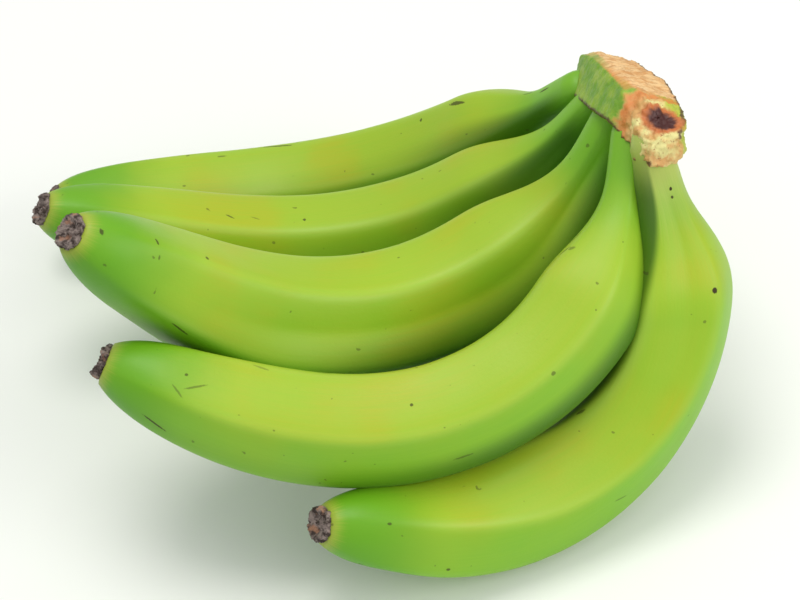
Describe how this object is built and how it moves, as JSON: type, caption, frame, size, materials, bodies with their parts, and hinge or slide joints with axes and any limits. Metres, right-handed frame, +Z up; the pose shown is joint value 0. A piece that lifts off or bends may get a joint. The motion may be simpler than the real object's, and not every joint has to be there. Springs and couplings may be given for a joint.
{
  "type": "hand of green bananas",
  "caption": "Hand of unripe green bananas cut from the stalk, its curved fingers joined at a woody crown, lying on its outer fingers.",
  "frame": {"origin": "middle of the hand's box, on the surface that it lies on", "axes": "+Z up, +X towards the crown, -Y towards the front finger"},
  "size_m": [0.2436, 0.2046, 0.1361],
  "materials": {
    "skin": "waxy satin banana skin",
    "crown": "green skin with a fibrous cut face",
    "blossom": "dry, dark and rough"
  },
  "bodies": {
    "root": {"crown": "crown", "finger_1": "skin", "blossom_tip_1": "blossom", "finger_2": "skin", "blossom_tip_2": "blossom", "finger_3": "skin", "blossom_tip_3": "blossom", "finger_4": "skin", "blossom_tip_4": "blossom", "finger_5": "skin", "blossom_tip_5": "blossom"}
  },
  "joints": []
}
